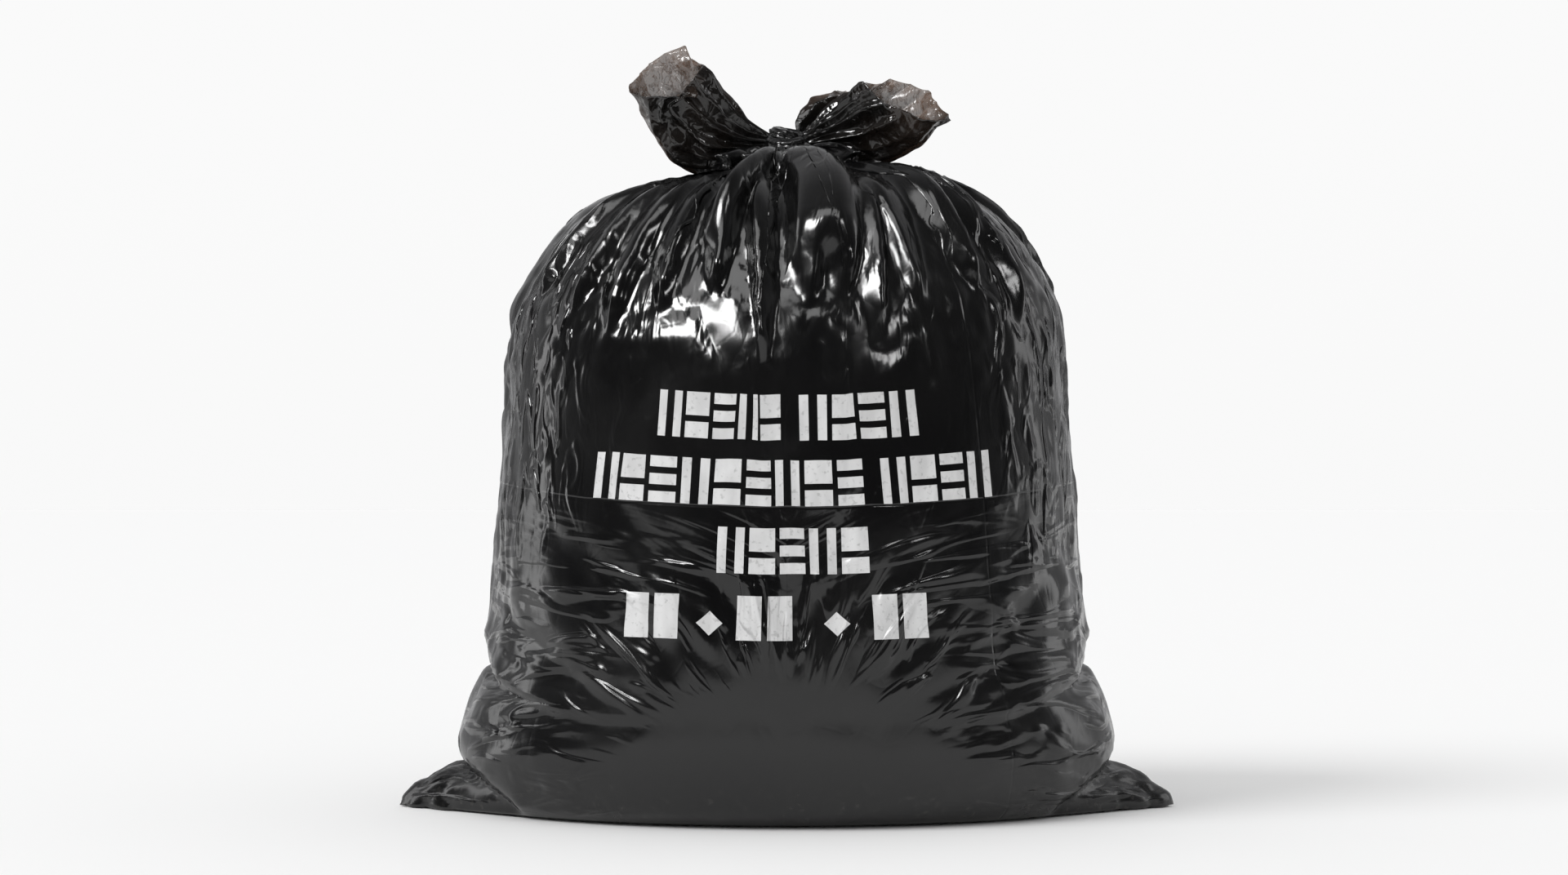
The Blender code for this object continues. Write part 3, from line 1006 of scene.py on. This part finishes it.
print("rim corners", len(LEFT_RIM), len(RIGHT_RIM), len(BACK_RIM))

# %% [markdown]
# Between the rings the film follows smooth curves. Then it is disturbed: by sharp pleats that die
# out towards the rim, and by creases that grow towards it. Each point also keeps how thin the film
# looks there, for the finish. This grows towards the rim and is highest on the walls that face the
# back. It sets how much light the film lets through, and how much painted backlight, a brown glow,
# is mixed into its colour. A Solidify modifier gives the sheet its wall.

# %% Lofting an ear
EAR_ROUND = 132
EAR_LONG = 44
EAR_PLEATS = 13
EAR_STATIONS = np.array([0.0, 0.24, 0.50, 0.76, 1.0])    # where the rings lie along the ear
EAR_CREASES = ((0.0095, 0.038), (0.0030, 0.015))         # depth, size
EAR_WALL = 0.0005


def rim_ring(corners, count):
    """Points spread along straight edges between the rim's corners, by length."""
    loop = np.array(list(corners) + [corners[0]])
    walked = np.concatenate([[0.0], np.cumsum(np.linalg.norm(np.diff(loop, axis=0), axis=1))])
    spread = np.arange(count) / count * walked[-1]
    return np.stack([np.interp(spread, walked, loop[:, k]) for k in range(3)], axis=1)


def oval_ring(ring, count):
    upper = np.array([ring[0], 0.0, ring[1]])
    lower = np.array([ring[2], 0.0, ring[3]])
    theta = 2 * math.pi * np.arange(count) / count
    middle = (upper + lower) / 2 + np.array([0.0, ring[4], 0.0])
    half = (upper - lower) / 2
    depthward = np.array([0.0, -ring[5], 0.0])
    return middle + np.cos(theta)[:, None] * half + np.sin(theta)[:, None] * depthward


def make_ear(name, rings, rim, pleats, seed):
    stack = np.array([oval_ring(ring, EAR_ROUND) for ring in rings] + [rim_ring(rim, EAR_ROUND)])
    share = np.linspace(0.0, 1.0, EAR_LONG)
    surface = np.empty((EAR_LONG, EAR_ROUND, 3))
    for column in range(EAR_ROUND):
        for axis in range(3):
            surface[:, column, axis] = curve_through(share, EAR_STATIONS, stack[:, column, axis])
    middle = surface.mean(axis=1, keepdims=True)
    away = surface - middle
    length = np.linalg.norm(away, axis=2, keepdims=True)
    theta = 2 * math.pi * np.arange(EAR_ROUND) / EAR_ROUND
    sway = 0.8 * np.sin(2 * theta + seed) + 0.5 * np.sin(3 * theta + 2.0 * seed)
    twist = theta[None, :] * pleats + sway[None, :] + 1.2 * share[:, None]
    ridge = 1.0 - 2.0 * np.abs(np.sin(twist / 2)) ** 0.7
    deep = (0.0050 * soft_step(0.0, 0.22, share) * soft_step(1.05, 0.35, share) + 0.0014 * share)[:, None]
    flat = surface.reshape(-1, 3)
    creases = np.zeros(len(flat))
    for number, (crease_depth, size) in enumerate(EAR_CREASES):
        creases += crease_depth * (np.abs(lattice_noise(flat / size, seed + number)) - 0.28)
    creases = creases.reshape(EAR_LONG, EAR_ROUND) * soft_step(0.05, 0.45, share)[:, None]
    surface = surface + away / length * (ridge * deep + creases)[:, :, None]
    points = surface.reshape(-1, 3)
    piece = mesh_object(name, points, ring_faces(EAR_LONG, EAR_ROUND))
    outward_now = normals_of(piece.data, points)
    if float((outward_now * away.reshape(-1, 3)).sum()) < 0:
        piece.data.flip_normals()
    # The thin attribute grows towards the rim and most on the walls that face the back. The finish uses it
    # for how much light passes, and for a painted brown backlight glow.
    thin = piece.data.attributes.new("thin", "FLOAT", "POINT")
    fade = soft_step(0.30, 0.95, share + 0.10 * np.sin(2 * math.pi * share))
    backward = soft_step(-0.3, 0.5, (away / length)[:, :, 1]).reshape(-1)
    spread = np.repeat(fade, EAR_ROUND) * (0.10 + 0.90 * backward)
    spread = spread + 0.14 * lattice_noise(points / 0.03, seed + 5) * np.repeat(fade, EAR_ROUND)
    thin.data.foreach_set("value", np.clip(spread, 0.0, 1.0).astype(np.float32))
    wall = piece.modifiers.new("film_wall", "SOLIDIFY")
    wall.thickness = EAR_WALL
    wall.offset = -1.0
    piece.data = mesh_now(piece)
    piece.modifiers.clear()
    piece.data.shade_smooth()
    return piece


ear_left = make_ear("ear_left", LEFT_RINGS, LEFT_RIM, EAR_PLEATS, 3)
ear_right = make_ear("ear_right", RIGHT_RINGS, RIGHT_RIM, EAR_PLEATS, 5)
ear_right_back = make_ear("ear_right_back", BACK_RINGS, BACK_RIM, 7, 8)
print("ear faces", len(ear_left.data.polygons), len(ear_right.data.polygons))

# %% [markdown]
# ## The knot
# The knot is a rope of film wrapped once round the neck and drawn tight. It is a swept shape, so
# Geometry Nodes make it: a star section, for the pleats along the rope, is carried along a closed
# path, and noise crumples the result. The path dips at the front and rises at the back, as a
# half hitch does.

# %% Geometry Nodes: a crumpled rope of film
ROPE_KNOBS = {           # name: kind of socket, value for this knot
    "Rope Radius": ("NodeSocketFloat", 0.0092), "Pleats": ("NodeSocketInt", 9),
    "Twist": ("NodeSocketFloat", 0.4), "Crumple": ("NodeSocketFloat", 0.0042),
}
STAR_WAIST = 0.66        # inner radius of the star section, as a share of the outer

rope_tree = bpy.data.node_groups.new("crumpled_rope", "GeometryNodeTree")
rope_tree.interface.new_socket("Geometry", in_out="INPUT", socket_type="NodeSocketGeometry")
knob_name = {}
for name, (kind, value) in ROPE_KNOBS.items():
    socket = rope_tree.interface.new_socket(name, in_out="INPUT", socket_type=kind)
    socket.default_value = value
    knob_name[name] = socket.identifier
film_knob = rope_tree.interface.new_socket("Film", in_out="INPUT", socket_type="NodeSocketMaterial")
rope_tree.interface.new_socket("Geometry", in_out="OUTPUT", socket_type="NodeSocketGeometry")
entry = rope_tree.nodes.new("NodeGroupInput")


def knob(name):
    return Wire(rope_tree, entry.outputs[name])


def rope_node(kind, output, inputs, **settings):
    return node(rope_tree, kind, output, inputs, **settings)


path = rope_node("GeometryNodeResampleCurve", "Curve", {"Curve": knob("Geometry"), "Count": 96})
star = rope_node("GeometryNodeCurveStar", "Curve", {
    "Outer Radius": knob("Rope Radius"), "Inner Radius": knob("Rope Radius") * STAR_WAIST,
    "Points": knob("Pleats"), "Twist": knob("Twist"),
})
swept = rope_node("GeometryNodeCurveToMesh", "Mesh", {"Curve": path, "Profile Curve": star})
smooth = rope_node("GeometryNodeSubdivisionSurface", "Mesh", {"Mesh": swept, "Level": 1})
noise = rope_node("ShaderNodeTexNoise", "Fac", {"Scale": 95.0, "Detail": 3.0})
facing = rope_node("GeometryNodeInputNormal", "Normal", {})
push = {0: facing, "Scale": (noise - 0.5) * knob("Crumple")}
shift = rope_node("ShaderNodeVectorMath", "Vector", push, operation="SCALE")
crumpled = rope_node("GeometryNodeSetPosition", "Geometry", {"Geometry": smooth, "Offset": shift})
real = rope_node("GeometryNodeRealizeInstances", "Geometry", {"Geometry": crumpled})
painted = rope_node("GeometryNodeSetMaterial", "Geometry", {"Geometry": real, "Material": knob("Film")})
feed(rope_tree.nodes.new("NodeGroupOutput").inputs["Geometry"], painted)
print("rope tree nodes", len(rope_tree.nodes))

# %% [markdown]
# The print is off-white ink in four rows, each a run of plain shapes with gaps where words would
# part: pairs of upright bars, slit blocks and stacked stripes by turns, and a last row of blocks
# and small diamonds. It carries no lettering. The shapes are worked out on the flat film, so
# they bend and crease with it.

# %% Print: simple shapes on the flat film
SHAPE_HEIGHT = 0.046
SHAPE_FILL = 0.84        # width of a shape, as a share of its pitch
SHAPE_ROWS = (           # middle height on the film, runs as (from, to, number of shapes)
    (0.424, ((-0.140, -0.005, 5), (0.017, 0.146, 4))),
    (0.358, ((-0.213, 0.083, 9), (0.103, 0.224, 4))),
    (0.290, ((-0.072, 0.084, 5),)),
)
BLOCK_ROW = 0.222
BLOCKS = (-0.152, -0.121, -0.038, -0.007, 0.098, 0.129)
BLOCK_WIDTH = 0.025
DIAMONDS = (-0.077, 0.050)
DIAMOND_REACH = 0.013
DIAMOND_ROW = BLOCK_ROW - 0.006


def between(value, low, high):
    return (value > low) * (value < high)


def shape_run(across, level, low, high, count):
    """A run of shapes between two places: bars, slit block, stripes, and so on by turns."""
    pitch = (high - low) / (count - 1 + SHAPE_FILL)
    places = (across - low) / pitch
    within = places.maths("FRACT")
    turn_number = places.maths("FLOOR").maths("FLOORED_MODULO", 3.0)
    bars = abs(within - SHAPE_FILL / 2) > SHAPE_FILL * 0.16
    slit = abs(level - 0.42) > 0.07
    stripes = (level * 2.62).maths("FRACT") < 0.62
    is_bars = turn_number < 0.5
    is_stripes = turn_number > 1.5
    is_slit = 1.0 - is_bars - is_stripes
    shape = is_bars * bars + is_stripes * stripes + is_slit * slit
    return shape * (within < SHAPE_FILL) * between(across, low, high)


def print_mask(across, up):
    in_blocks = between(up, BLOCK_ROW - SHAPE_HEIGHT / 2, BLOCK_ROW + SHAPE_HEIGHT / 2)
    shapes = [between(across, middle - BLOCK_WIDTH / 2, middle + BLOCK_WIDTH / 2) * in_blocks
              for middle in BLOCKS]
    for middle in DIAMONDS:
        shapes.append(abs(across - middle) + abs(up - DIAMOND_ROW) < DIAMOND_REACH)
    for middle, runs in SHAPE_ROWS:
        level = (up - (middle - SHAPE_HEIGHT / 2)) / SHAPE_HEIGHT
        in_row = between(level, 0.0, 1.0)
        shapes += [shape_run(across, level, *run) * in_row for run in runs]
    total = shapes[0]
    for shape in shapes[1:]:
        total = total.maths("MAXIMUM", shape)
    return total


print("print rows", len(SHAPE_ROWS) + 1)

# %% [markdown]
# ## The finish of black film
# Black polythene is a clear plastic full of soot: almost no colour, a sharp gloss, and a skin
# that is never quite flat. Three sizes of unevenness give it life: creases a few centimetres
# long, crackle from handling, and a fine drawing grain that runs up the film.

# %% Relief of handled film
RELIEF_REACH = (0.0040, 0.0010, 0.0003)     # how far creases, crackle and grain stand up
RELIEF_SHARE = (0.55, 0.05, 0.05)


def film_relief(here, strength):
    """Bump of handled film: creases, crackle and drawn grain, laid one on the other."""
    creases = abs(noise_at(stretched(here, (1.0, 1.0, 0.55)), 17.0, 1.5, 0.9) - 0.5)
    cells = {"Vector": stretched(here, (1.0, 1.0, 0.7)), "Scale": 46.0}
    crackle = node(here.tree, "ShaderNodeTexVoronoi", "Distance", cells, feature="DISTANCE_TO_EDGE")
    edges = ranged(crackle, 0.0, 0.10, 0.0, 1.0)
    grain = noise_at(stretched(here, (1.0, 1.0, 0.08)), 520.0, 1.0)
    relief = None
    for height, share, reach in zip((creases, edges, grain), RELIEF_SHARE, RELIEF_REACH):
        relief = bumped(height, min(1.0, share * strength), reach, relief)
    return relief


print("relief reaches", [reach * 1000 for reach in RELIEF_REACH], "mm")

# %% [markdown]
# Between the wrinkles of the mesh lie finer puckers of the same kind: lens shapes in the spray
# low on the front and back, upright ones at the sides. Modelled, they would need millions of
# faces, so they are bump. They are read on the flat film, with the same centre and the same calm
# oval as the wrinkles of the mesh.

# %% Fine lens-shaped puckers
LENS_HEIGHT = 0.0042     # how far a fine pucker stands up


def lens_noise(x, y, z, distortion, low, high, top):
    """A noise at stretched places, cut off below, so that only separate lens shapes stay."""
    place = node(x.tree, "ShaderNodeCombineXYZ", 0, {0: x, 1: y, 2: z})
    return ranged(noise_at(place, 1.0, 1.5, distortion), low, high, 0.0, top)


def lens_wrinkles(across, up):
    behind = across > BACK_OFFSET / 2
    local = across - behind * BACK_OFFSET
    above = up - SPRAY_HEIGHT
    aside = abs(local)
    bearing = above.maths("ARCTAN2", aside)
    distance = (above * above + aside * aside).maths("SQRT")
    which = local.maths("SIGN") + behind * 5.0
    inner = lens_noise(bearing / 0.105, distance / 0.070, which * 9.7, 0.7, 0.46, 0.74, 1.0)
    outer = lens_noise(bearing * distance / 0.026, distance / 0.085, which * 5.3, 0.8, 0.45, 0.72, 0.9)
    far_out = ranged(distance, 0.18, 0.28, 0.0, 1.0)
    fan = inner * (1.0 - far_out) + outer * far_out
    narrowed = aside * CALM_WIDTH
    from_calm = (above * above + narrowed * narrowed).maths("SQRT")
    fan_here = ranged(from_calm, CALM_FROM, CALM_TO, 0.0, 1.0) * ranged(up, 0.22, 0.34, 1.0, 0.0)
    under = ranged(bearing, -0.85, -0.35, 0.0, 1.0)
    fan_here = fan_here * under.maths("MAXIMUM", ranged(aside, 0.17, 0.26, 0.0, 1.0))
    stand = lens_noise(across / 0.022, (aside * -0.7 + up) / 0.050, 0.0, 0.9, 0.46, 0.76, 1.0)
    stand_here = ranged(aside, 0.22, 0.34, 0.12, 1.0) * ranged(up, 0.24, 0.36, 0.0, 1.0)
    total = fan * fan_here + stand * stand_here
    total = total * ranged(aside, 0.405, 0.425, 1.0, 0.0)
    return total * ranged(up, 0.005, 0.03, 0.0, 1.0)


print("puckers stand", LENS_HEIGHT * 1000, "mm high")

# %% [markdown]
# The roughness varies with the handling, so that the gloss breaks up as it does on a used sack,
# and dust lies where the bag stood on the floor. The sack's own film also has the worn print and
# the fold lines from packing. The knot has neither, so one function makes both finishes.

# %% Film material
SOOT_DARK = (0.0028, 0.0028, 0.0030, 1.0)
SOOT_LIGHT = (0.0052, 0.0051, 0.0052, 1.0)
DUST_COLOUR = (0.16, 0.15, 0.135, 1.0)
DUST_SHARE = 0.13
INK_GREYS = (0.56, 0.68)
PACK_FOLD_UP = 0.3335    # the level fold line, up the flat film
PACK_FOLD_ASIDE = 0.214  # the upright one, across from the middle of the front
PACK_FOLD_WIDTH = 0.0022


def new_film(name):
    """A new film material, its tree, its shader, and the wire with the place on the object."""
    material = bpy.data.materials.new(name)
    material.use_nodes = True
    tree = material.node_tree
    shader = tree.nodes["Principled BSDF"]
    shader.inputs["IOR"].default_value = 1.52
    return material, tree, shader, node(tree, "ShaderNodeTexCoord", "Object", {})


def black_film(name, printed):
    material, tree, shader, here = new_film(name)
    height = node(tree, "ShaderNodeSeparateXYZ", "Z", {0: here})
    soot = ranged(noise_at(here, 5.0, 3.0), 0.35, 0.7, 0.0, 1.0)
    colour = mixed_colour(soot, SOOT_DARK, SOOT_LIGHT)
    rough = ranged(noise_at(here, 9.0, 4.0, 0.5), 0.35, 0.70, 0.13, 0.23)
    rough = rough + ranged(height, 0.10, 0.32, 0.035, 0.0)
    specks = ranged(noise_at(here, 140.0, 3.0), 0.56, 0.74, 0.0, 1.0)
    dust = ranged(height, 0.0, 0.07, 1.0, 0.0) * specks * DUST_SHARE
    colour = mixed_colour(dust, colour, DUST_COLOUR)
    rough = rough + dust * 0.5
    relief = film_relief(here, 0.55 if printed else 0.9)
    if printed:
        flat = node(tree, "ShaderNodeUVMap", "UV", {}, uv_map="flat_film")
        across = node(tree, "ShaderNodeSeparateXYZ", "X", {0: flat})
        up = node(tree, "ShaderNodeSeparateXYZ", "Y", {0: flat})
        worn = ranged(noise_at(here, 210.0, 3.0), 0.30, 0.44, 0.75, 1.0)
        ink = print_mask(across, up) * worn
        cast = ranged(noise_at(stretched(here, (1.0, 1.0, 0.3)), 60.0), 0.3, 0.7, 0.0, 1.0)
        colour = mixed_colour(ink, colour, mixed_colour(cast, grey(INK_GREYS[0]), grey(INK_GREYS[1])))
        rough = rough + ink * 0.10
        level_fold = ranged(abs(up - PACK_FOLD_UP), 0.0, PACK_FOLD_WIDTH, 0.0, 1.0)
        upright_fold = ranged(abs(across - PACK_FOLD_ASIDE), 0.0, PACK_FOLD_WIDTH, 0.0, 1.0)
        relief = bumped(lens_wrinkles(across, up), 1.0, LENS_HEIGHT, relief)
        relief = bumped(level_fold.maths("MINIMUM", upright_fold), 0.30, 0.0008, relief)
    feed(shader.inputs["Base Color"], colour)
    feed(shader.inputs["Roughness"], rough)
    feed(shader.inputs["Normal"], relief)
    return material


sack_film = black_film("sack_film", True)
knot_film = black_film("knot_film", False)
print("film materials", sack_film.name, knot_film.name)

# %% [markdown]
# The ears are single film with light behind it. One layer lets a brown-grey light through, two
# layers are nearly black. The attribute called thin runs from 0 at the knot to 1 at the rim, and is
# highest on the walls that face the back. It opens the film up, so that what lies behind shows
# through. It also mixes in a brown base colour: painted backlight, the glow of one layer laid on
# as colour. Fine veins darken the film where it is creased.

# %% Thin film of the ears, with painted backlight
EAR_DARK = (0.006, 0.0055, 0.005, 1.0)
# The brown below is painted backlight: the glow of light through one layer of film, laid on as base colour.
EAR_PAINTED_GLOW = (0.135, 0.082, 0.055, 1.0)
COVER_THICK = 0.985      # how much light the doubled film at the knot stops
COVER_THIN = 0.57        # how much the single film at the rim stops


def thin_film(name):
    material, tree, shader, here = new_film(name)
    thin_and_glow = node(tree, "ShaderNodeAttribute", "Fac", {}, attribute_name="thin")
    veins = noise_at(stretched(here, (1.0, 1.0, 0.55)), 120.0, 3.0, 1.6)
    doubled = noise_at(stretched(here, (1.0, 1.0, 0.6)), 34.0, 2.0, 0.8)
    cover = ranged(thin_and_glow, 0.0, 1.0, COVER_THICK, COVER_THIN)
    cover = cover + (ranged(abs(veins - 0.5), 0.0, 0.045, 0.20, 0.0) + ranged(doubled, 0.52, 0.57, 0.0, 0.15))
    cover = node(tree, "ShaderNodeClamp", "Result", {"Value": cover})
    rough = ranged(noise_at(here, 30.0, 3.0), 0.35, 0.7, 0.11, 0.24)
    crumple = abs(noise_at(stretched(here, (1.0, 1.0, 0.8)), 42.0, 1.5, 1.2) - 0.5)
    # The base colour turns brown towards the rim. This is painted backlight, not the film's own colour.
    feed(shader.inputs["Base Color"], mixed_colour(thin_and_glow, EAR_DARK, EAR_PAINTED_GLOW))
    feed(shader.inputs["Alpha"], cover)
    feed(shader.inputs["Roughness"], rough)
    feed(shader.inputs["Normal"], bumped(crumple, 0.55, 0.009, film_relief(here, 1.0)))
    return material


ear_film = thin_film("ear_film")
print("ear material", ear_film.name)

# %% [markdown]
# With the finishes made, the knot's path is drawn and swept, and every piece gets its film.

# %% Sweep the knot
KNOT_PATH = (
    (-0.022, 0.002, 0.6940), (-0.014, -0.017, 0.6870), (0.001, -0.024, 0.6850), (0.014, -0.016, 0.6880),
    (0.018, 0.000, 0.6940), (0.006, 0.011, 0.6990), (-0.010, 0.006, 0.7010), (-0.013, -0.009, 0.6990),
    (-0.002, -0.015, 0.6960), (0.009, -0.006, 0.6930), (0.004, 0.009, 0.6890), (-0.012, 0.011, 0.6890),
)
knot_curve = bpy.data.curves.new("knot_path", "CURVE")
knot_curve.dimensions = "3D"
knot_line = knot_curve.splines.new("NURBS")
knot_line.points.add(len(KNOT_PATH) - 1)
for point, where in zip(knot_line.points, KNOT_PATH):
    point.co = (*where, 1.0)
knot_line.use_cyclic_u = True
knot_line.order_u = 3
knot_holder = bpy.data.objects.new("knot_path", knot_curve)
COLLECTION.objects.link(knot_holder)
rope = knot_holder.modifiers.new("rope", "NODES")
rope.node_group = rope_tree
for name, (_, value) in ROPE_KNOBS.items():
    rope[knob_name[name]] = value
rope[film_knob.identifier] = knot_film
bpy.context.view_layer.update()
knot_mesh = mesh_now(knot_holder)
bpy.data.objects.remove(knot_holder)
knot = bpy.data.objects.new("knot", knot_mesh)
COLLECTION.objects.link(knot)
knot_mesh.shade_smooth()
knot_points = np.array([v.co for v in knot_mesh.vertices])
print("knot faces", len(knot_mesh.polygons), np.round(knot_points.min(0), 3), np.round(knot_points.max(0), 3))

# %% [markdown]
# Every piece gets its film, rides on the one body, and stands for the solid bag.

# %% Film on every piece, and what each piece stands for
for piece, film_kind in ((sack, sack_film), (knot, knot_film), (ear_left, ear_film),
                         (ear_right, ear_film), (ear_right_back, ear_film)):
    piece.data.materials.clear()
    piece.data.materials.append(film_kind)
    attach(piece, "root")
    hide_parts("bin_bag")
